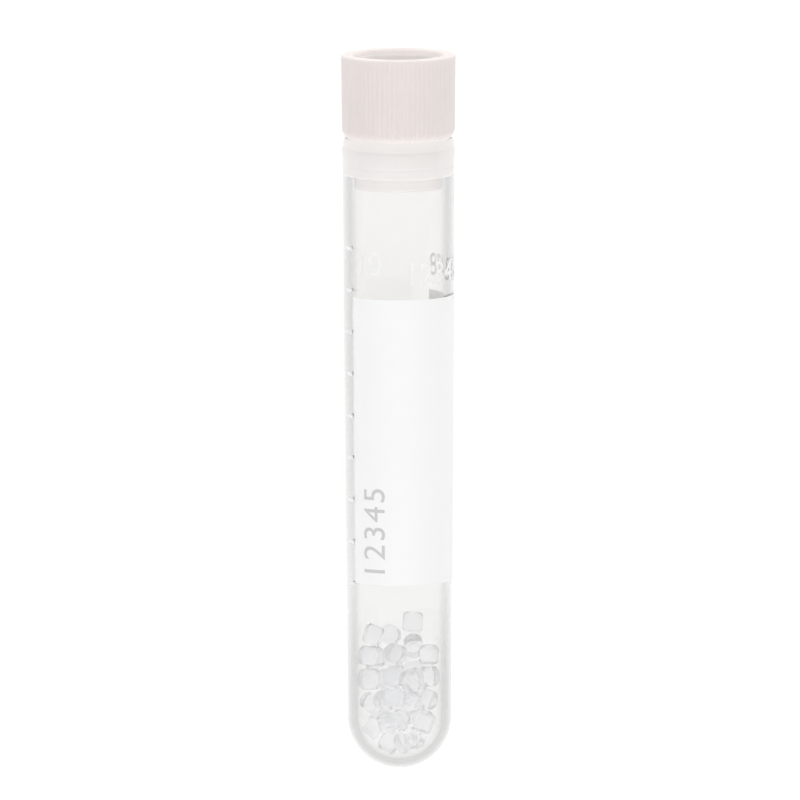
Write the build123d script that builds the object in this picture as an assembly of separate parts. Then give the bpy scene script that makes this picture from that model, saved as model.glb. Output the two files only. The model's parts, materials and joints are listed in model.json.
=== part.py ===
from build123d import *

import math
import os

import numpy as np

# Blood collection tube with a push stopper, a wrapped label and loose clear granules.
# It is built along +X with the closed end at X = 0 and the label's front facing +Z, and then laid on a flat
# surface, where it rests on its round end and on the bead below its rim. All sizes are in millimetres and
# degrees. Angles round the tube are counted from its front, positive towards -Y.

# --- Tube ---
tube_length = 95.0  # closed end to rim
rim_od = 16.8  # outside diameter of the tapered wall, if it is carried up to the rim
end_od = 15.4  # outside diameter of the round end
rim_wall = 1.55  # wall thickness at the rim
end_wall = 1.1  # wall thickness where the round end starts
floor_thickness = 1.3  # at the middle of the round end
rim_bevel = 0.25  # at both edges of the rim
collar_step = 0.12  # how far the collar above the bead stands back from the tapered wall
bead_below_rim = 1.9
bead_width = 1.5
bead_flat = 0.6  # width of the land on top of the bead
bead_height = 0.16  # proud of the wall

# --- Moulded graduations on the tube ---
tick_count = 9
tick_first = 28.3  # distance of the lowest tick from the closed end
tick_pitch = 6.3
tick_width = 0.45
tick_height = 0.1
tick_from_angle = -75.0
tick_to_angle = -58.0
tick_root = 0.2  # how deep each tick is rooted in the wall

# --- Stopper ---
seat_gap = 0.02  # between the head and the rim that it sits on
head_height = 12.45
head_overhang = 0.15  # head radius at its top beyond the tube's radius at the rim
head_draft = 0.15  # how much smaller the head's radius is at its lower end
head_bevel_height = 1.0
head_bevel_width = 0.62
head_edge_bevel = 0.3
head_wall = 2.25  # top of the head's side wall, without the bevel inside its mouth
mouth_bevel_width = 0.55
mouth_bevel_depth = 0.75
hollow_draft = 0.35  # how much the head's hollow narrows on its way down
step_height = 0.5  # of the slope where the hollow steps in to the plug
plug_wall = 1.2
plug_floor = 1.2
floor_bevel = 0.7
ring_clearance = 0.03  # between each sealing ring and the bore
ring_height = 0.08
ring_width = 2.4
ring_flat = 1.8  # width of the land on top of each ring
upper_ring_depth = 2.62  # middle of the upper ring below the head
ring_space = 0.1  # plain stretch of the plug between the two rings
nose_length = 1.2  # of the plug's end below the lower ring
nose_draft = 0.04
nose_bevel = 0.6

# --- Grip ribs of the stopper's head ---
rib_count = 72
rib_land = 0.34  # width of each rib's flat crest
groove_depth = 0.16
rib_proud = 0.03  # how far the ribs stand out from the plain band above them
plain_band = 0.6  # height of the plain band at the head's top

# --- Label ---
label_from_end = 28.5  # lower edge of the label from the closed end
label_height = 43.0
label_thickness = 0.08
glue_gap = 0.02
label_from_angle = -55.0
label_to_angle = 146.0

# --- Granules ---
granule_count = 36
granule_diameter = 3.4
granule_length = 2.9
granule_sides = 10  # flats round each granule
granule_chamfer = 0.35
granule_gap = 0.03  # least clearance between granules
granule_wall_gap = 0.09  # least clearance between a granule and the bore
heap_slope = 46.0  # of the heap's free surface in the lying tube
heap_reach = 45.0  # no granule settles further from the closed end
heap_seed = 120

rim_radius = rim_od / 2
end_radius = end_od / 2
bore_end_radius = end_radius - end_wall
bore_rim_radius = rim_radius - rim_wall
bore_centre = floor_thickness + bore_end_radius  # centre of the bore's round end along the tube
bead_centre = tube_length - bead_below_rim
seat = tube_length + seat_gap
head_top = seat + head_height
head_top_radius = rim_radius + head_overhang
upper_ring = seat - upper_ring_depth
lower_ring = upper_ring - ring_width - ring_space
nose = lower_ring - ring_width / 2 - nose_length


def tangent_slope(round_radius, round_centre, wall_radius):
    """Slope of the straight wall that leaves a round end smoothly and has this radius at the rim."""
    run = tube_length - round_centre
    return math.atan2(wall_radius, run) - math.asin(round_radius / math.hypot(run, wall_radius))


outer_slope = tangent_slope(end_radius, end_radius, rim_radius)
bore_slope = tangent_slope(bore_end_radius, bore_centre, bore_rim_radius)


def outer_radius(along):
    """Radius of the tube's outside at a distance from the closed end."""
    return rim_radius - (tube_length - along) * math.tan(outer_slope)


def bore_radius(along):
    """Radius of the bore at a distance from the closed end."""
    return bore_rim_radius - (tube_length - along) * math.tan(bore_slope)


bead_radius = outer_radius(bead_centre) + bead_height


def on_round_end(centre, radius, angle):
    """Point of a round end's outline, with the angle in radians counted from its pole."""
    return (centre - radius * math.cos(angle), radius * math.sin(angle))


def revolved(outline, arc=360):
    """Solid of an outline that is drawn as distance along the tube and radius."""
    face = Plane.XZ * make_face(outline)
    return revolve(face, Axis.X, arc)


def straight(start, end):
    """Straight stretch of an outline.

    A slanted one is a curve of one span, because the wall that it sweeps out then needs few facets.
    """
    level = math.isclose(start[0], end[0]) or math.isclose(start[1], end[1])
    return Line(start, end) if level else Bezier(start, end)


def path(*points):
    """Straight stretches through points."""
    return [straight(start, end) for start, end in zip(points, points[1:])]


def ring_outline(middle, foot, top):
    """Points of a sealing ring's flat-topped profile."""
    return [
        (middle - ring_width / 2, foot),
        (middle - ring_flat / 2, top),
        (middle + ring_flat / 2, top),
        (middle + ring_width / 2, foot),
    ]


def make_tube():
    """Round-ended, tapered tube with its neck bead and moulded graduations."""
    outer_end_angle = math.pi / 2 - outer_slope
    bore_end_angle = math.pi / 2 - bore_slope
    outer_tangent = on_round_end(end_radius, end_radius, outer_end_angle)
    bore_tangent = on_round_end(bore_centre, bore_end_radius, bore_end_angle)
    bead_foot = (bead_centre - bead_width / 2, outer_radius(bead_centre - bead_width / 2))
    collar_radius = outer_radius(bead_centre + bead_width / 2) - collar_step
    outline = [
        ThreePointArc((0, 0), on_round_end(end_radius, end_radius, outer_end_angle / 2), outer_tangent),
        Line(outer_tangent, bead_foot),
        *path(
            bead_foot,
            (bead_centre - bead_flat / 2, bead_radius),
            (bead_centre + bead_flat / 2, bead_radius),
            (bead_centre + bead_width / 2, collar_radius),
            (tube_length - rim_bevel, collar_radius),
            (tube_length, collar_radius - rim_bevel),
            (tube_length, bore_rim_radius + rim_bevel),
            (tube_length - rim_bevel, bore_radius(tube_length - rim_bevel)),
            bore_tangent,
        ),
        ThreePointArc(
            bore_tangent,
            on_round_end(bore_centre, bore_end_radius, bore_end_angle / 2),
            (floor_thickness, 0),
        ),
        Line((floor_thickness, 0), (0, 0)),
    ]
    return revolved(outline) + [make_tick(i) for i in range(tick_count)]


def shell_strip(start, end, inner_step, outer_step, from_angle, to_angle):
    """Part of a ring on the tube's tapered wall, between two distances from the wall's surface."""
    corners = [
        (start, outer_radius(start) + inner_step),
        (start, outer_radius(start) + outer_step),
        (end, outer_radius(end) + outer_step),
        (end, outer_radius(end) + inner_step),
    ]
    strip = revolved(path(*corners, corners[0]), to_angle - from_angle)
    return strip.rotate(Axis.X, from_angle)


def make_tick(index):
    """One raised graduation line, rooted in the tube's wall."""
    start = tick_first + index * tick_pitch - tick_width / 2
    return shell_strip(start, start + tick_width, -tick_root, tick_height, tick_from_angle, tick_to_angle)


def make_label():
    """Thin paper label wrapped part of the way round the tapered wall."""
    end = label_from_end + label_height
    thickness = glue_gap + label_thickness
    return shell_strip(label_from_end, end, glue_gap, thickness, label_from_angle, label_to_angle)


def make_stopper():
    """Hollow push stopper: ribbed head, plug with two sealing rings, and the open hollow inside both."""
    ring_radius = bore_radius(lower_ring) - ring_clearance
    core = ring_radius - ring_height
    body = revolved(
        path(
            (nose, 0),
            (nose, core - nose_draft - nose_bevel),
            (nose + nose_bevel, core - nose_draft),
            *ring_outline(lower_ring, core, ring_radius),
            *ring_outline(upper_ring, core, ring_radius),
            (seat + head_bevel_height, core),
            (seat + head_bevel_height, 0),
            (nose, 0),
        )
    )
    band = revolved(
        path(
            (seat + head_bevel_height, 0),
            (seat + head_bevel_height, core),
            (head_top - plain_band, core),
            (head_top - plain_band, head_top_radius - rib_proud),
            (head_top - head_edge_bevel, head_top_radius - rib_proud),
            (head_top, head_top_radius - rib_proud - head_edge_bevel),
            (head_top, 0),
            (seat + head_bevel_height, 0),
        )
    )
    return body + band + make_ribbed_side() - make_hollow(core)


def make_ribbed_side():
    """The head's drafted side with its grip ribs, which run out over the bevel at its foot."""
    side_radius = head_top_radius - head_draft
    sections = [
        ribbed_section(seat, side_radius - head_bevel_width),
        ribbed_section(seat + head_bevel_height, side_radius),
        ribbed_section(head_top - plain_band, head_top_radius),
    ]
    return loft(sections, ruled=True)


def ribbed_section(along, crest_radius):
    """Cross-section of the head, with a flat crest on each rib and a vee groove after it."""
    pitch = 2 * math.pi / rib_count
    land = rib_land / head_top_radius
    floor_radius = crest_radius * (1 - groove_depth / head_top_radius)
    points = []
    for index in range(rib_count):
        middle = index * pitch
        for radius, angle in (
            (crest_radius, middle - land / 2),
            (crest_radius, middle + land / 2),
            (floor_radius, middle + pitch / 2),
        ):
            points.append((radius * math.cos(angle), radius * math.sin(angle)))
    across = Plane(origin=(along, 0, 0), x_dir=(0, 1, 0), z_dir=(1, 0, 0))
    return across * make_face(Polyline(*points, close=True))


def make_hollow(core):
    """Cutter for the stopper's hollow, open at the head's top and closed by the plug's floor."""
    mouth = head_top_radius - head_wall
    well = core - plug_wall
    floor = nose + plug_floor
    above = head_top + mouth_bevel_depth
    return revolved(
        path(
            (floor, 0),
            (floor, well - floor_bevel),
            (floor + floor_bevel, well),
            (seat, well),
            (seat + step_height, mouth - hollow_draft),
            (head_top - mouth_bevel_depth, mouth),
            (head_top, mouth + mouth_bevel_width),
            (above, mouth + 2 * mouth_bevel_width),
            (above, 0),
            (floor, 0),
        )
    )


def unit(vectors):
    return vectors / np.maximum(np.linalg.norm(vectors, axis=-1, keepdims=True), 1e-9)


def granule_reach(axes, directions):
    """How far a granule, a chamfered cylinder, reaches from its centre along unit directions."""
    along = np.abs((axes * directions).sum(-1))
    across = np.sqrt(np.maximum(1 - along**2, 0))
    half = granule_length / 2
    radius = granule_diameter / 2
    past_end = along * half + across * (radius - granule_chamfer)
    past_side = along * (half - granule_chamfer) + across * radius
    return np.maximum(past_end, past_side)


def granules_clear(centres, axes, placed_centres, placed_axes):
    """Which trial granules have a plane between them and every placed one, with the least clearance."""
    offset = placed_centres[None] - centres[:, None]
    ours = np.broadcast_to(axes[:, None], offset.shape)
    theirs = np.broadcast_to(placed_axes[None], offset.shape)
    straight = unit(offset)
    beside_ours = unit(offset - (offset * ours).sum(-1, keepdims=True) * ours)
    beside_theirs = unit(offset - (offset * theirs).sum(-1, keepdims=True) * theirs)
    sideways = unit(np.cross(ours, theirs))
    normals = [straight, beside_ours, beside_theirs, ours, theirs, sideways]
    normals += [unit(straight + beside_ours), unit(straight + beside_theirs)]
    for lean in (ours, theirs):
        signed = lean * np.sign((lean * offset).sum(-1, keepdims=True))
        normals += [unit(2 * straight + signed), unit(straight + signed)]
    best = np.full(offset.shape[:2], -np.inf)
    for normal in normals:
        apart = np.abs((normal * offset).sum(-1))
        gap = apart - granule_reach(ours, normal) - granule_reach(theirs, normal)
        best = np.maximum(best, gap)
    return (best > granule_gap).all(-1)


def granules_inside(centres, axes):
    """Which trial granules lie wholly inside the bore, by points round their edges."""
    side = unit(np.cross(axes, [0.31, 0.57, 0.76]))
    other = np.cross(axes, side)
    turn = np.linspace(0, 2 * np.pi, 12, endpoint=False)[None, :, None]
    circle = np.cos(turn) * side[:, None] + np.sin(turn) * other[:, None]
    half = granule_length / 2
    radius = granule_diameter / 2
    edges = [(half, radius - granule_chamfer), (half - granule_chamfer, radius)]
    inside = np.ones(len(centres), bool)
    for height, out in edges + [(-height, out) for height, out in edges]:
        points = centres[:, None] + height * axes[:, None] + out * circle
        along = points[..., 0]
        off_axis = np.hypot(points[..., 1], points[..., 2])
        wall = bore_rim_radius - (tube_length - along) * math.tan(bore_slope)
        from_round = np.hypot(np.minimum(along - bore_centre, 0), off_axis)
        fits = np.where(along < bore_centre, from_round < bore_end_radius - granule_wall_gap, True)
        inside &= (fits & (off_axis < wall - granule_wall_gap) & (along < heap_reach)).all(-1)
    return inside


def settle_granules():
    """Centres and axes of the granules, each dropped onto those before it and left where it stops.

    They fall along the pull that leaves the heap's surface at its slope. Many trial granules go down at
    once by small random moves. The lowest is kept, and now and then one that caught on the way, which
    leaves the heap as loose as a poured one.
    """
    random = np.random.default_rng(heap_seed)
    trials, moves = 48, 170
    pull = -np.array([math.cos(math.radians(90 - heap_slope)), 0, math.sin(math.radians(90 - heap_slope))])
    placed_centres = np.zeros((0, 3))
    placed_axes = np.zeros((0, 3))
    for index in range(granule_count):
        around = random.uniform(0, 2 * np.pi, trials)
        out = np.sqrt(random.uniform(0, 1, trials)) * (bore_end_radius - granule_diameter / 2)
        along = random.uniform(floor_thickness, heap_reach, trials)
        centres = np.stack([along, out * np.cos(around), out * np.sin(around)], -1)
        axes = unit(random.normal(size=(trials, 3)))
        height = np.full(trials, np.inf)
        for move in range(moves):
            step = 1.6 * (1 - move / moves) ** 2 + 0.03
            moved = centres + step * (random.normal(size=centres.shape) + 0.5 * pull)
            turned = unit(axes + 0.4 * step * random.normal(size=axes.shape))
            moved_height = -moved @ pull
            free = granules_inside(moved, turned) & (moved_height < height)
            if len(placed_centres):
                free &= granules_clear(moved, turned, placed_centres, placed_axes)
            centres = np.where(free[:, None], moved, centres)
            axes = np.where(free[:, None], turned, axes)
            height = np.where(free, moved_height, height)
        rank = 4 if index % 5 == 4 else 0
        kept = np.argsort(height)[rank]
        placed_centres = np.vstack([placed_centres, centres[kept]])
        placed_axes = np.vstack([placed_axes, axes[kept]])
    return placed_centres, placed_axes


def make_granules():
    """Loose clear granules, as short cylinders with broken edges."""
    flats = RegularPolygon(granule_diameter / 2, granule_sides)
    blank = extrude(flats, granule_length / 2, both=True)
    granule = chamfer(blank.edges().filter_by(Axis.Z, reverse=True), granule_chamfer)
    centres, axes = settle_granules()
    return [Plane(origin=tuple(c), z_dir=tuple(a)) * granule for c, a in zip(centres, axes)]


def rest_slope(along, radius):
    """Slope in degrees at which the tube lies on its round end and on an edge at this distance and radius."""
    run = along - end_radius
    return math.degrees(math.atan2(radius, run) - math.asin(end_radius / math.hypot(run, radius)))


def lay_down(parts):
    """Lays the parts on Z = 0 as they rest, with the middle of their length over the origin."""
    on_bead = rest_slope(bead_centre - bead_flat / 2, bead_radius)
    on_head = rest_slope(head_top - plain_band, head_top_radius)
    raised = Pos(0, 0, end_radius) * Rot(0, -max(on_bead, on_head), 0) * Pos(-end_radius, 0, 0)
    laid = {name: raised * part for name, part in parts.items()}
    boxes = [part.bounding_box() for part in laid.values()]
    middle = (min(box.min.X for box in boxes) + max(box.max.X for box in boxes)) / 2
    return {name: Pos(-middle, 0, 0) * part for name, part in laid.items()}


def main():
    parts = {"tube": make_tube(), "stopper": make_stopper(), "label": make_label()}
    for index, granule in enumerate(make_granules(), 1):
        parts[f"granule_{index:02d}"] = granule
    os.makedirs("parts", exist_ok=True)
    for name, part in lay_down(parts).items():
        export_step(part, f"parts/{name}.step")


main()
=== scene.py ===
import json
import math
import random

import bmesh
import bpy
import numpy as np
from mathutils import Matrix, Vector


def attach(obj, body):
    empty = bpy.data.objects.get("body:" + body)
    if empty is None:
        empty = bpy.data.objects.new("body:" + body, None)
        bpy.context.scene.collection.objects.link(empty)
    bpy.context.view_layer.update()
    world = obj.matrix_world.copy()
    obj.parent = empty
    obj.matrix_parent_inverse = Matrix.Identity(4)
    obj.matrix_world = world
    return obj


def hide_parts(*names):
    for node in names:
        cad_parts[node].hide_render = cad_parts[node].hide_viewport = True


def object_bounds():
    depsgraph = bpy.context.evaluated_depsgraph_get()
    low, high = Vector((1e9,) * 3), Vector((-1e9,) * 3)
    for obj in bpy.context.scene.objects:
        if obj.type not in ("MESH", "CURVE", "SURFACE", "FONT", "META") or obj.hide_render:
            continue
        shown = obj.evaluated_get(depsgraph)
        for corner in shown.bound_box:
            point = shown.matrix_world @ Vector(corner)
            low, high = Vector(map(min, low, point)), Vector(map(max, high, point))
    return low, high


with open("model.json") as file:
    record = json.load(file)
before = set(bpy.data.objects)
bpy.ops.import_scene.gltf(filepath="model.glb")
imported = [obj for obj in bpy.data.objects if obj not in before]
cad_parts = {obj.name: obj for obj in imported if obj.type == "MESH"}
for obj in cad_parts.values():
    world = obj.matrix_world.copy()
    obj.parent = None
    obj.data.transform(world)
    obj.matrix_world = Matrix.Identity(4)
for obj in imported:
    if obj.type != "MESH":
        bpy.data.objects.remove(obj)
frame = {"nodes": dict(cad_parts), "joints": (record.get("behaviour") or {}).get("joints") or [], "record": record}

# Looks of a clear blood collection tube: the moulded tube with its raised marks, its ribbed push stopper,
# the wrapped paper label with printed digits, and the loose clear granules.
# Shapes are drawn in millimetres along the tube's own axis, with X = 0 at the closed end, +X towards the
# stopper and +Z towards the tube's front, which the label covers. Angles round the tube count in degrees
# from its front, positive towards -Y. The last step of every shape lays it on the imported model.

MM = 0.001
cad_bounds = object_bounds()
merge_distance = 1e-4

# --- Tube ---
tube_length = 95.0
rim_radius = 8.4
end_radius = 7.7
end_wall = 1.1
rim_wall = 1.55
floor_thickness = 1.3
bead_from_end = 93.1
bead_width = 1.5
bead_height = 0.18
bead_rounding = 0.45
bead_foot_rounding = 0.2
collar_step = 0.12
collar_rounding = 0.5
bore_rim_rounding = 0.303
tube_steps = 240  # of the mesh round the tube
tick_count = 9
tick_first = 28.3
tick_pitch = 6.3
tick_width = 0.45
tick_height = 0.1
tick_rounding = 0.06
tick_angles = (-75.0, -58.0)
tick_steps = 17
edge_shade_places = (14.0, 28.0, 80.0)
edge_shade_shares = (1.15, 0.75, 1.0)  # how much shade is painted on the wall's edge at those places
edge_shade_fade = 0.05  # over which that painted shade ends at the plug's seal

# --- Stopper ---
seat = 94.98  # just inside the rim, which it presses on
head_height = 12.485
head_radius = 8.55
head_draft = 0.15
head_wall = 2.25
foot_bevel_height = 1.0
foot_bevel_width = 0.62
foot_rounding = 0.15
side_rounding = 0.3  # where the foot's bevel meets the ribbed side
plain_band = 0.6  # above the ribs
band_foot_inset = 0.01
band_top_inset = 0.03
top_rounding = 0.25
mouth_bevel_width = 0.55
mouth_bevel_depth = 0.75
mouth_rounding = 0.2
throat_rounding = 0.3  # where the mouth's bevel meets the hollow
hollow_draft = 0.35
step_height = 0.5
step_rounding = 0.2
plug_radius = 6.71
plug_length = 7.5
plug_wall = 1.2
plug_floor = 1.2
nose_rounding = 0.55
neck_rounding = 0.05  # where the plug meets the head
well_rounding = 0.25
well_floor_rounding = 0.7
contact_from = 89.5  # where the plug's sealing face starts to press on the bore
contact_to = 94.8
squeeze = 0.05  # how far the sealing face presses into the bore, which makes them one to the eye
seal_rounding = 0.1
creases = (90.85, 93.2)  # shallow grooves in the sealing face
crease_width = 0.25
crease_squeeze = 0.005
crease_rounding = 0.08
rib_count = 72
rib_columns = 10  # of the mesh over one rib and its groove
rib_row_pitch = 0.8
rib_depth = 0.09
rib_crest = 0.42  # how far out from a rib's middle it keeps its height, as a share of half a pitch
rib_run_out = 0.5
# Painted light: how much paler the hollow, the plug and the head's foot are made, against the shade in the hollow
# and under the head and the light lost through the tube's wall
hollow_painted_light = 0.8
plug_painted_light = 0.9
foot_painted_light = 0.45
painted_light_foot_height = 0.2
radius_margin = 0.05  # for telling the head's side and its hollow from what is next to them
face_margin = 0.01  # for vertices that lie on a flat face

# --- Label and marks ---
label_from = 28.5
label_to = 71.5
label_angles = (-55.0, 139.0)
label_steps = 201
label_inner_gap = 0.02
label_thickness = 0.08
ink_height = 0.008
ink_depth = 0.004  # how far the print reaches into the paper
mark_height = 0.08
mark_gap = 0.004  # between a moulded mark and the wall that it stands on
text_strip = 0.2  # width of the flat strips that text is cut into before it is bent

# --- Granules ---
granule_radius = 1.6
granule_half_length = 1.43
granule_rounding = 0.5
granule_dish_radius = 0.7  # of a face's dished middle, as a share of the granule's own
granule_dish_rounding = 0.1
granule_dish_depth = 0.12  # of the deepest
granule_steps = 28
granule_seed = 5

# --- Stage and view ---
floor_reach = 2000.0
floor_gap = 0.02
floor_whiteness = 0.8  # share of plain white in the floor as it is seen. The rest of it holds the shadow
view_width = 119.6  # at the tube
view_middle = 53.5
view_rise = 1.91
view_shift = 0.15
view_lean = 7.6  # towards the stopper, in degrees from square to the tube
camera_roll = 0.11  # in degrees
camera_distance = 3320.0
sensor_width = 36.0

# --- Worked out from those ---
outer_slope = math.atan2(rim_radius, tube_length - end_radius) - math.asin(
    end_radius / math.hypot(tube_length - end_radius, rim_radius)
)
bore_end_radius = end_radius - end_wall
bore_centre = floor_thickness + bore_end_radius
bore_rim_radius = rim_radius - rim_wall
bore_slope = math.atan2(bore_rim_radius, tube_length - bore_centre) - math.asin(
    bore_end_radius / math.hypot(tube_length - bore_centre, bore_rim_radius)
)
head_top = seat + head_height
ribs_end = head_top - plain_band
foot_radius = head_radius - head_draft
mouth_radius = head_radius - head_wall
nose = seat - plug_length
well_floor = nose + plug_floor
well_radius = plug_radius - plug_wall
paper_top = label_inner_gap + label_thickness


def outer_radius(along):
    return rim_radius - (tube_length - along) * math.tan(outer_slope)


def bore_radius(along):
    return bore_rim_radius - (tube_length - along) * math.tan(bore_slope)


def laid_on_the_frame():
    """Matrix from the tube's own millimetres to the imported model, by its bead and its pull axis."""
    bead = next(mount for mount in frame["record"]["mounts"] if mount["name"] == "rack_bead")
    along = Vector(frame["joints"][0]["axis"]).normalized()
    side = Vector((0, 1, 0))
    up = along.cross(side)
    turn = Matrix((along, side, up)).transposed().to_4x4()
    closed_end = Vector(bead["pos_m"]) - along * bead_from_end * MM
    return Matrix.Translation(closed_end) @ turn @ Matrix.Scale(MM, 4)


placed = laid_on_the_frame()


# --- Shapes ---
def turned(outline, steps, angles=None, segments=4):
    """bmesh swept round the tube's axis by an outline of (along, radius, rounding) points.

    Without angles the outline starts and ends on the axis and is swept all the way round. With them it
    is a closed outline, swept from the first angle to the second and closed at both ends.
    """
    bm = bmesh.new()
    corners = [bm.verts.new((along, 0, radius)) for along, radius, _ in outline]
    for start, end in zip(corners, corners[1:]):
        bm.edges.new((start, end))
    if angles:
        bm.edges.new((corners[-1], corners[0]))
    for rounding in sorted({point[2] for point in outline if point[2]}):
        rounded = [corner for corner, point in zip(corners, outline) if point[2] == rounding]
        bmesh.ops.bevel(
            bm, geom=rounded, offset=rounding, segments=segments, profile=0.5, affect="VERTICES", material=-1
        )
    first, last = angles or (0.0, 360.0)
    bmesh.ops.rotate(bm, verts=bm.verts, matrix=Matrix.Rotation(math.radians(first), 3, "X"))
    bmesh.ops.spin(
        bm,
        geom=bm.verts[:] + bm.edges[:],
        axis=(1, 0, 0),
        cent=(0, 0, 0),
        angle=math.radians(last - first),
        steps=steps,
        use_merge=angles is None,
    )
    bmesh.ops.remove_doubles(bm, verts=bm.verts, dist=merge_distance)
    if angles:
        bmesh.ops.holes_fill(bm, edges=[edge for edge in bm.edges if edge.is_boundary], sides=0)
    bmesh.ops.recalc_face_normals(bm, faces=bm.faces)
    return bm


def merged(parts):
    """One bmesh of several."""
    whole = bmesh.new()
    for part in parts:
        mesh = bpy.data.meshes.new("part")
        part.to_mesh(mesh)
        part.free()
        whole.from_mesh(mesh)
        bpy.data.meshes.remove(mesh)
    return whole


def finished(name, bm, material, body, replaced=(), sharp=40.0):
    """Makes a bmesh drawn in the tube's millimetres a finished piece on its body."""
    bmesh.ops.transform(bm, matrix=placed, verts=bm.verts)
    mesh = bpy.data.meshes.new(name)
    bm.to_mesh(mesh)
    bm.free()
    mesh.shade_smooth()
    mesh.set_sharp_from_angle(angle=math.radians(sharp))
    mesh.materials.append(material)
    piece = bpy.data.objects.new(name, mesh)
    bpy.context.scene.collection.objects.link(piece)
    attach(piece, body)
    if replaced:
        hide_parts(*replaced)


def round_end(centre, radius, slope, points=20):
    """Outline of a round end from its pole to the wall of this slope."""
    last = math.pi / 2 - slope
    turns = [last * step / points for step in range(points + 1)]
    return [(centre - radius * math.cos(turn), radius * math.sin(turn), 0) for turn in turns]


def wall_stations(first, last, pitch=2.0):
    """Even distances along a wall, both its ends included."""
    count = round((last - first) / pitch)
    return [first + (last - first) * step / count for step in range(count + 1)]


def angle_round(place):
    """Angle of a place round the tube, in degrees from its front."""
    return math.degrees(math.atan2(-place.y, place.z))


def clamped(value):
    return min(max(value, 0.0), 1.0)


def tube_outline():
    """Section of the tube from the pole of its round end, over the rim and down the bore."""
    bead_start = bead_from_end - bead_width / 2
    bead_end = bead_from_end + bead_width / 2
    collar = outer_radius(bead_end) - collar_step
    outside = round_end(end_radius, end_radius, outer_slope)
    stations = wall_stations(outside[-1][0], contact_from)[1:] + [contact_from + edge_shade_fade]
    outside += [(along, outer_radius(along), 0) for along in stations]
    outside += [
        (bead_start, outer_radius(bead_start), bead_foot_rounding),
        (bead_from_end, outer_radius(bead_from_end) + bead_height, bead_rounding),
        (bead_end, collar, bead_foot_rounding),
        (tube_length, collar, collar_rounding),
    ]
    bore = round_end(bore_centre, bore_end_radius, bore_slope)
    stations = wall_stations(bore[-1][0], tube_length)[1:-1]
    bore += [(along, bore_radius(along), 0) for along in stations]
    bore.append((tube_length, bore_rim_radius, bore_rim_rounding))
    return outside + bore[::-1]


def make_tube():
    """The tube, with attributes for the shade painted on its wall's edge below the plug's seal and for its warm
    tint.
    """
    bm = turned(tube_outline(), tube_steps, segments=5)
    # outside holds how much shade is painted on the outer wall's edge, below the plug's seal
    outside = bm.verts.layers.float.new("outside")
    warmth = bm.verts.layers.float.new("warmth")
    for vert in bm.verts:
        along = vert.co.x
        from_middle = Vector((min(along - end_radius, 0), vert.co.y, vert.co.z)).length
        is_outside = from_middle > (outer_radius(along) + bore_radius(along)) / 2
        if is_outside and along < contact_from + edge_shade_fade / 2:
            vert[outside] = float(np.interp(along, edge_shade_places, edge_shade_shares))
        vert[warmth] = clamped((along - label_from) / (label_to - label_from))
    finished("clear_tube", bm, clear_plastic(), "tube", ["tube"])


def sealing_face():
    """Outline of the plug's face on the bore, with its creases."""
    points = [(contact_from - crease_width, plug_radius, crease_rounding)]
    points.append((contact_from, bore_radius(contact_from) + squeeze, seal_rounding))
    for crease in creases:
        edges = [crease - crease_width, crease + crease_width]
        crests = [(along, bore_radius(along) + squeeze, seal_rounding) for along in edges]
        points += [crests[0], (crease, bore_radius(crease) + crease_squeeze, crease_rounding), crests[1]]
    points.append((contact_to, bore_radius(contact_to) + squeeze, seal_rounding))
    return points


def stopper_outline():
    """Section of the stopper from its nose, up the plug and the head's side, and down into its hollow."""
    rib_rows = wall_stations(seat + foot_bevel_height, ribs_end, rib_row_pitch)[1:-1]
    drafted = [(along, foot_radius + head_draft * (along - seat) / head_height, 0) for along in rib_rows]
    return [
        (nose, 0, 0),
        (nose, plug_radius, nose_rounding),
        *sealing_face(),
        (seat, plug_radius, neck_rounding),
        (seat, foot_radius - foot_bevel_width, foot_rounding),
        (seat + foot_bevel_height, foot_radius, side_rounding),
        *drafted,
        (ribs_end, head_radius - band_foot_inset, 0),
        (head_top, head_radius - band_top_inset, top_rounding),
        (head_top, mouth_radius + mouth_bevel_width, mouth_rounding),
        (head_top - mouth_bevel_depth, mouth_radius, throat_rounding),
        (seat + step_height, mouth_radius - hollow_draft, step_rounding),
        (seat, well_radius, well_rounding),
        (well_floor, well_radius, well_floor_rounding),
        (well_floor, 0, 0),
    ]


def cut_grooves(bm):
    """Draws the head's side in between its grip ribs, which run out below the plain band."""
    pitch = 360.0 / rib_count
    for vert in bm.verts:
        radius = math.hypot(vert.co.y, vert.co.z)
        if not seat < vert.co.x < ribs_end or radius < foot_radius - foot_bevel_width - radius_margin:
            continue
        from_crest = abs((angle_round(vert.co) / pitch + 0.5) % 1.0 - 0.5) * 2
        groove = clamped((from_crest - rib_crest) / (1 - rib_crest))
        groove = groove * groove * (3 - 2 * groove)
        run_out = min((ribs_end - vert.co.x) / rib_run_out, 1.0)
        shrink = 1 - rib_depth * groove * run_out / radius
        vert.co.y *= shrink
        vert.co.z *= shrink


def paint_light_on_hollow_foot_and_plug(bm):
    """Adds an attribute for how much light is painted on the head's hollow, its foot and the plug, which makes
    them paler than the head's side.
    """
    plug = bm.verts.layers.float.new("plug")
    for vert in bm.verts:
        radius = math.hypot(vert.co.y, vert.co.z)
        # Painted light on the hollow, the plug and the foot, which lie in shade or behind the tube's wall
        if radius < mouth_radius + radius_margin and vert.co.x > well_floor - face_margin:
            vert[plug] = hollow_painted_light
        elif vert.co.x < seat + face_margin:
            vert[plug] = plug_painted_light
        elif vert.co.x < seat + painted_light_foot_height:
            vert[plug] = foot_painted_light


def make_stopper():
    bm = turned(stopper_outline(), rib_count * rib_columns)
    cut_grooves(bm)
    paint_light_on_hollow_foot_and_plug(bm)
    finished("ribbed_stopper", bm, stopper_plastic(), "stopper", ["stopper"], sharp=60.0)


def make_label():
    stations = wall_stations(label_from, label_to)
    lower = [(along, outer_radius(along) + label_inner_gap, 0) for along in stations]
    upper = [(along, radius + label_thickness, 0) for along, radius, _ in reversed(lower)]
    bm = turned(lower + upper, label_steps, label_angles)
    finished("paper_label", bm, label_paper(), "tube", ["label"])


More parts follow.
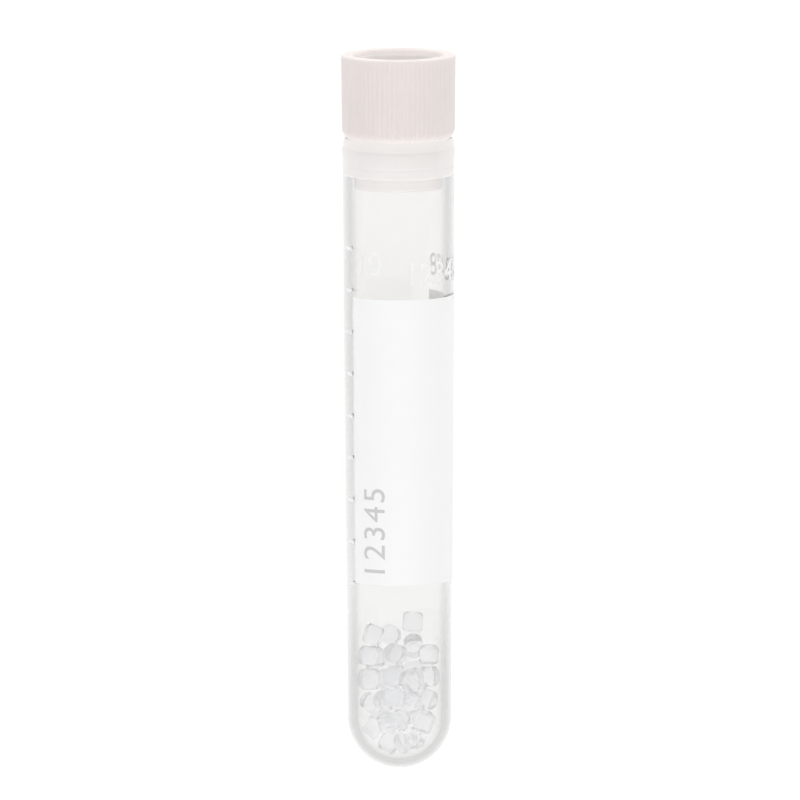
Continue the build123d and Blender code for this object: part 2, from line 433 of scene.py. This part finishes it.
def flat_text(text, size, thickness, spacing):
    """bmesh of plain digits as a flat plate, centred on the origin."""
    curve = bpy.data.curves.new("digits", "FONT")
    curve.body = text
    curve.size = size
    curve.align_x = "CENTER"
    curve.align_y = "CENTER"
    curve.space_character = spacing
    curve.extrude = thickness / 2
    flat = bpy.data.objects.new("digits", curve)
    bpy.context.scene.collection.objects.link(flat)
    bpy.context.view_layer.update()
    mesh = bpy.data.meshes.new_from_object(flat)
    bm = bmesh.new()
    bm.from_mesh(mesh)
    bpy.data.objects.remove(flat)
    bpy.data.curves.remove(curve)
    bpy.data.meshes.remove(mesh)
    bmesh.ops.remove_doubles(bm, verts=bm.verts, dist=merge_distance)
    return bm


def wrapped_text(text, size, along, angle, bottom, top, upright=False, spacing=1.0):
    """bmesh of plain digits bent round the tube, centred at a place, from bottom to top above its wall.

    Upright digits stand along the tube. The others read along it, with their heads to the left.
    """
    bm = flat_text(text, size, top - bottom, spacing)
    across = Vector((1, 0, 0)) if upright else Vector((0, 1, 0))
    reach = max(abs(vert.co.dot(across)) for vert in bm.verts)
    cuts = int(reach / text_strip)
    for cut in range(-cuts, cuts + 1):
        everything = bm.verts[:] + bm.edges[:] + bm.faces[:]
        bmesh.ops.bisect_plane(bm, geom=everything, plane_co=across * cut * text_strip, plane_no=across)
    middle = (bottom + top) / 2
    for vert in bm.verts:
        u, v, w = vert.co
        station = along + (v if upright else u)
        radius = outer_radius(station)
        turn = math.radians(angle) + (u if upright else -v) / radius
        out = radius + middle + w
        vert.co = (station, -out * math.sin(turn), out * math.cos(turn))
    bmesh.ops.recalc_face_normals(bm, faces=bm.faces)
    return bm


def make_printed_digits():
    bottom = paper_top - ink_depth
    top = paper_top + ink_height
    bm = wrapped_text("12345", 5.0, 36.3, -26.5, bottom, top, spacing=1.15)
    finished("printed_digits", bm, grey_ink(), "tube")


def make_tick(index):
    """Graduation line standing on the tube's wall, with its crest rounded."""
    middle = tick_first + tick_pitch * index
    foot = outer_radius(middle) + mark_gap
    top = outer_radius(middle) + tick_height
    outline = [
        (middle - tick_width / 2, foot, 0),
        (middle + tick_width / 2, foot, 0),
        (middle + tick_width / 2, top, tick_rounding),
        (middle - tick_width / 2, top, tick_rounding),
    ]
    return turned(outline, tick_steps, tick_angles)


def make_moulded_marks():
    """Raised graduation lines and plain digits, frosted by the mould."""
    parts = [make_tick(index) for index in range(tick_count)]
    parts.append(wrapped_text("10", 4.9, 76.6, -34.0, mark_gap, mark_height, upright=True))
    parts.append(wrapped_text("12345678", 4.8, 75.2, 72.0, mark_gap, mark_height, upright=True))
    finished("moulded_marks", merged(parts), moulded_mark(), "tube")


def granule_places():
    """Name, centre and axis of each packed granule, in the frame's metres."""
    for name in sorted(node for node in frame["nodes"] if node.startswith("granule")):
        mesh = frame["nodes"][name].data
        corners = np.unique(np.round([tuple(vert.co) for vert in mesh.vertices], 6), axis=0)
        centre = corners.mean(0)
        spread, directions = np.linalg.eigh(np.cov((corners - centre).T))
        yield name, Vector(centre), Vector(directions[:, np.argmax(spread)])


def cut_granule(chance):
    """bmesh of one rounded pellet with dished faces, a little smaller than a packed one."""
    radius = granule_radius * chance.uniform(0.93, 1.0)
    half = granule_half_length * chance.uniform(0.9, 1.0)
    dish = chance.uniform(0.0, granule_dish_depth)
    outline = [
        (-half + dish, 0, 0),
        (-half, radius * granule_dish_radius, granule_dish_rounding),
        (-half, radius, granule_rounding * chance.uniform(0.8, 1.0)),
        (half, radius, granule_rounding * chance.uniform(0.6, 0.9)),
        (half, radius * granule_dish_radius, granule_dish_rounding),
        (half - dish, 0, 0),
    ]
    return turned(outline, granule_steps, segments=5)


def make_granules():
    """Rounded pellets, no two quite alike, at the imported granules' places."""
    chance = random.Random(granule_seed)
    parts = []
    names = []
    for name, centre, axis in granule_places():
        names.append(name)
        part = cut_granule(chance)
        stretch = Matrix.Diagonal((1, chance.uniform(0.93, 1.0), 1, 1))
        lean = Matrix.Rotation(chance.uniform(0, math.tau), 4, "X")
        turn = axis.to_track_quat("X", "Z").to_matrix().to_4x4()
        in_place = Matrix.Translation(centre) @ turn @ lean @ stretch @ Matrix.Scale(MM, 4)
        bmesh.ops.transform(part, matrix=placed.inverted() @ in_place, verts=part.verts)
        parts.append(part)
    finished("granules", merged(parts), granule_plastic(), "tube", names, sharp=60.0)


# --- Materials ---
class Wire:
    """An output of a node. Arithmetic on it adds Math nodes, and add() adds any other node."""

    def __init__(self, tree, socket=None):
        self.tree = tree
        self.socket = socket

    def add(self, kind, settings=None, values=None, output=0):
        node = self.tree.nodes.new(kind)
        for key, value in (settings or {}).items():
            if key == "stops":
                set_stops(node.color_ramp, value)
            else:
                setattr(node, key, value)
        for key, value in (values or {}).items():
            if isinstance(value, Wire):
                self.tree.links.new(value.socket, node.inputs[key])
            else:
                node.inputs[key].default_value = value
        return Wire(self.tree, node.outputs[output] if node.outputs else None)

    def maths(self, operation, *values):
        return self.add("ShaderNodeMath", {"operation": operation}, dict(enumerate(values)))

    def __add__(self, other):
        return self.maths("ADD", self, other)

    def __mul__(self, other):
        return self.maths("MULTIPLY", self, other)

    __radd__ = __add__
    __rmul__ = __mul__

    def mixed(self, low, high):
        """Colour between low and high, with this wire as the share of high."""
        values = {"Factor": self, 6: low, 7: high}
        return self.add("ShaderNodeMix", {"data_type": "RGBA"}, values, 2)


def set_stops(ramp, stops):
    while len(ramp.elements) < len(stops):
        ramp.elements.new(0.5)
    for element, (position, colour) in zip(ramp.elements, stops):
        element.position = position
        element.color = colour


def grey(level):
    return (level, level, level, 1)


def new_material(name):
    """A material and a wire that adds to its node tree, which is still empty."""
    material = bpy.data.materials.new(name)
    material.use_nodes = True
    material.node_tree.nodes.clear()
    return material, Wire(material.node_tree)


def show(wire, shader, output="ShaderNodeOutputMaterial"):
    """Sends a shader to the tree's output."""
    wire.add(output, {}, {"Surface": shader})


def noise_at(wire, scale, detail=3.0, stretch=(1, 1, 1), roughness=0.5):
    """Noise from 0 to 1 on the piece's own coordinates, per metre, stretched along each axis."""
    place = wire.add("ShaderNodeTexCoord", output="Object")
    place = wire.add("ShaderNodeMapping", {}, {"Vector": place, "Scale": stretch})
    values = {"Vector": place, "Scale": scale, "Detail": detail, "Roughness": roughness}
    return wire.add("ShaderNodeTexNoise", {}, values)


def attribute(wire, name):
    """Number that the piece's attribute of this name gives."""
    return wire.add("ShaderNodeAttribute", {"attribute_name": name}, output="Fac")


def bumped(wire, height, distance):
    return wire.add("ShaderNodeBump", {}, {"Height": height, "Distance": distance, "Strength": 1.0})


def rays(wire, *kinds):
    """1 for rays of these kinds and 0 for all others."""
    share, *others = [wire.add("ShaderNodeLightPath", output=f"Is {kind} Ray") for kind in kinds]
    for other in others:
        share = share.maths("MAXIMUM", share, other)
    return share


def see_through(wire, shadow, values):
    """Clear plastic that lets the light of the lamps and of the room through to what is behind it."""
    clear = wire.add("ShaderNodeBsdfPrincipled", {}, values)
    through = wire.add("ShaderNodeBsdfTransparent", {}, {"Color": shadow})
    for_light = rays(wire, "Shadow", "Diffuse")
    show(wire, wire.add("ShaderNodeMixShader", {}, {0: for_light, 1: clear, 2: through}))


def clear_plastic():
    """Clear plastic with faint flow lines, scuffs and haze, and painted shade in a band near its edge."""
    material, wire = new_material("clear_moulded_plastic")
    flow = noise_at(wire, 160, 2.0, (0.25, 1, 1))
    scuffs = noise_at(wire, 900, 4.0, (0.3, 1, 1))
    haze = noise_at(wire, 260)
    clear = attribute(wire, "warmth").mixed(grey(0.942), (0.936, 0.932, 0.92, 1))
    clear = haze.mixed(clear, (0.955, 0.952, 0.943, 1))
    # Painted shade: a band of the wall near its edge, picked by how it faces the view, is darkened towards grey by
    # the outside attribute
    facing = wire.add("ShaderNodeLayerWeight", {}, {"Blend": 0.5}, "Facing")
    edge_shade_by_facing = [(0.2, 0), (0.31, 0.18), (0.37, 0.38), (0.44, 0.8), (0.52, 1.0), (0.64, 0.8), (0.88, 0.45)]
    stops = [(place, grey(share)) for place, share in edge_shade_by_facing]
    edge = wire.add("ShaderNodeValToRGB", {"stops": stops}, {"Fac": facing})
    values = {
        "Base Color": (edge * attribute(wire, "outside")).mixed(clear, (0.43, 0.427, 0.422, 1)),
        "Roughness": 0.025,
        "IOR": 1.58,
        "Transmission Weight": 1.0,
        "Normal": bumped(wire, flow + scuffs * 0.04, 0.000012),
    }
    see_through(wire, grey(0.99), values)
    return material


def granule_plastic():
    """Clear plastic, slightly milky and blue, with an uneven surface."""
    material, wire = new_material("clear_granule_plastic")
    waves = noise_at(wire, 700)
    tint = noise_at(wire, 180, 1.0)
    values = {
        "Base Color": tint.mixed((0.978, 0.978, 0.99, 1), (0.99, 0.99, 0.999, 1)),
        "Roughness": 0.15,
        "IOR": 1.3,
        "Transmission Weight": 0.82,
        "Normal": bumped(wire, waves, 0.00012),
    }
    see_through(wire, (0.985, 0.985, 0.99, 1), values)
    return material


def moulded_mark():
    """White frosting of the raised marks."""
    material, wire = new_material("raised_mark_plastic")
    grain = noise_at(wire, 1500, 2.0)
    values = {
        "Base Color": grain.mixed((0.97, 0.97, 0.965, 1), (1.0, 1.0, 0.995, 1)),
        "Roughness": 0.4 + grain * 0.2,
        "IOR": 1.4,
        "Alpha": 0.85 + grain * 0.15,
        "Normal": bumped(wire, grain, 0.00004),
    }
    show(wire, wire.add("ShaderNodeBsdfPrincipled", {}, values))
    return material


def stopper_plastic():
    """Satin, slightly waxy pink-grey plastic, with painted light where the plug attribute says so."""
    material, wire = new_material("satin_stopper_plastic")
    mottle = noise_at(wire, 220)
    grain = noise_at(wire, 2600)
    side = mottle.mixed((0.805, 0.74, 0.718, 1), (0.84, 0.78, 0.757, 1))
    values = {
        # Painted light: the base colour goes paler by the plug attribute
        "Base Color": attribute(wire, "plug").mixed(side, (0.985, 0.95, 0.938, 1)),
        "Roughness": 0.38 + mottle * 0.14,
        "Subsurface Weight": 0.12,
        "Subsurface Radius": (1.0, 0.8, 0.7),
        "Subsurface Scale": 0.0012,
        "IOR": 1.5,
        "Normal": bumped(wire, grain + mottle * 0.6, 0.00003),
    }
    show(wire, wire.add("ShaderNodeBsdfPrincipled", {}, values))
    return material


def label_paper():
    """Smooth white paper with faint clouds and fibres."""
    material, wire = new_material("smooth_label_paper")
    fibres = noise_at(wire, 2200, 5.0, (1, 0.45, 0.45), 0.65)
    clouds = noise_at(wire, 140)
    sheet = clouds.mixed(grey(0.96), grey(0.98))
    values = {
        "Base Color": (fibres * 0.35).mixed(sheet, grey(0.92)),
        "Roughness": 0.5 + fibres * 0.18,
        "IOR": 1.45,
        "Normal": bumped(wire, fibres, 0.00003),
    }
    show(wire, wire.add("ShaderNodeBsdfPrincipled", {}, values))
    return material


def grey_ink():
    """Grey print of slightly uneven cover."""
    material, wire = new_material("grey_print")
    coverage = noise_at(wire, 3000)
    values = {
        "Base Color": coverage.mixed((0.58, 0.58, 0.585, 1), (0.67, 0.67, 0.675, 1)),
        "Roughness": 0.45 + coverage * 0.15,
        "Normal": bumped(wire, coverage, 0.00001),
    }
    show(wire, wire.add("ShaderNodeBsdfPrincipled", {}, values))
    return material


# --- Stage, light and camera ---
def seen_directly(wire):
    """1 for what the camera sees, also in gloss and through clear plastic, and 0 for light on the object."""
    return rays(wire, "Camera", "Glossy", "Transmission")


def make_floor():
    """Pale floor under the tube, which looks nearly white but takes the tube's shadow."""
    bm = bmesh.new()
    bmesh.ops.create_grid(bm, x_segments=1, y_segments=1, size=floor_reach * MM)
    mesh = bpy.data.meshes.new("floor")
    bm.to_mesh(mesh)
    bm.free()
    floor = bpy.data.objects.new("floor", mesh)
    floor.location.z = cad_bounds[0][2] - floor_gap * MM
    bpy.context.scene.collection.objects.link(floor)
    material, wire = new_material("pale_floor")
    lit = wire.add("ShaderNodeBsdfDiffuse", {}, {"Color": grey(0.96)})
    white = wire.add("ShaderNodeEmission", {}, {"Color": grey(1), "Strength": 1.08})
    share = seen_directly(wire) * floor_whiteness
    show(wire, wire.add("ShaderNodeMixShader", {}, {0: share, 1: lit, 2: white}))
    mesh.materials.append(material)


def make_world():
    """Even soft light on the object, a brighter room for gloss and clear plastic, and a white backdrop."""
    world = bpy.data.worlds.new("soft_room")
    bpy.context.scene.world = world
    world.use_nodes = True
    world.node_tree.nodes.clear()
    wire = Wire(world.node_tree)
    place = wire.add("ShaderNodeTexCoord", output="Generated")
    height = wire.add("ShaderNodeSeparateXYZ", {}, {"Vector": place}, "Z")
    stops = [(0.0, grey(0.86)), (0.3, grey(0.88)), (0.8, grey(0.95))]
    room = wire.add("ShaderNodeValToRGB", {"stops": stops}, {"Fac": height})
    colour = seen_directly(wire).mixed(grey(0.36), room)
    colour = rays(wire, "Camera").mixed(colour, grey(1))
    background = wire.add("ShaderNodeBackground", {}, {"Color": colour, "Strength": 1.0})
    show(wire, background, "ShaderNodeOutputWorld")


def make_lamp(name, place, aim, size, watts):
    """Round soft lamp that gloss and clear plastic don't show, with its places and size in metres."""
    data = bpy.data.lights.new(name, "AREA")
    data.shape = "DISK"
    data.size = size
    data.energy = watts
    lamp = bpy.data.objects.new(name, data)
    lamp.location = place
    lamp.rotation_euler = (Vector(place) - Vector(aim)).to_track_quat("Z", "Y").to_euler()
    lamp.visible_glossy = False
    lamp.visible_transmission = False
    bpy.context.scene.collection.objects.link(lamp)


def make_camera():
    """Long lens that looks down on the tube, with the stopper at the top of the view."""
    along = (placed.to_3x3() @ Vector((1, 0, 0))).normalized()
    square = (placed.to_3x3() @ Vector((0, 0, 1))).normalized()
    lean = math.radians(view_lean)
    towards = square * math.cos(lean) + along * math.sin(lean)
    up = along * math.cos(lean) - square * math.sin(lean)
    up.rotate(Matrix.Rotation(math.radians(-camera_roll), 3, towards))
    right = up.cross(towards)
    target = placed @ Vector((view_middle, 0, 0)) + (up * view_rise + right * view_shift) * MM
    data = bpy.data.cameras.new("camera")
    data.sensor_width = sensor_width
    data.lens = sensor_width * camera_distance / view_width
    data.clip_start = 0.1
    data.clip_end = 20.0
    camera = bpy.data.objects.new("camera", data)
    turn = Matrix((right, up, towards)).transposed().to_4x4()
    camera.matrix_world = Matrix.Translation(target + towards * camera_distance * MM) @ turn
    bpy.context.scene.collection.objects.link(camera)
    bpy.context.scene.camera = camera


make_tube()
make_stopper()
make_label()
make_printed_digits()
make_moulded_marks()
make_granules()
make_floor()
make_world()
make_lamp("left_softbox", (-0.1, 0.84, 0.71), (0, 0, 0), 1.1, 4.9)
make_lamp("right_softbox", (-0.1, -0.84, 0.71), (0, 0, 0), 1.1, 4.9)
make_lamp("mouth_fill", (0.95, 0.0, 0.25), (0.05, 0, 0), 0.5, 4.8)
make_lamp("foot_fill", (-0.95, 0.0, 0.2), (0, 0, 0), 0.5, 4.6)
make_camera()
bpy.context.scene.view_settings.view_transform = "Standard"
bpy.context.scene.cycles.max_bounces = 32
bpy.context.scene.cycles.transmission_bounces = 28
bpy.context.scene.cycles.glossy_bounces = 28
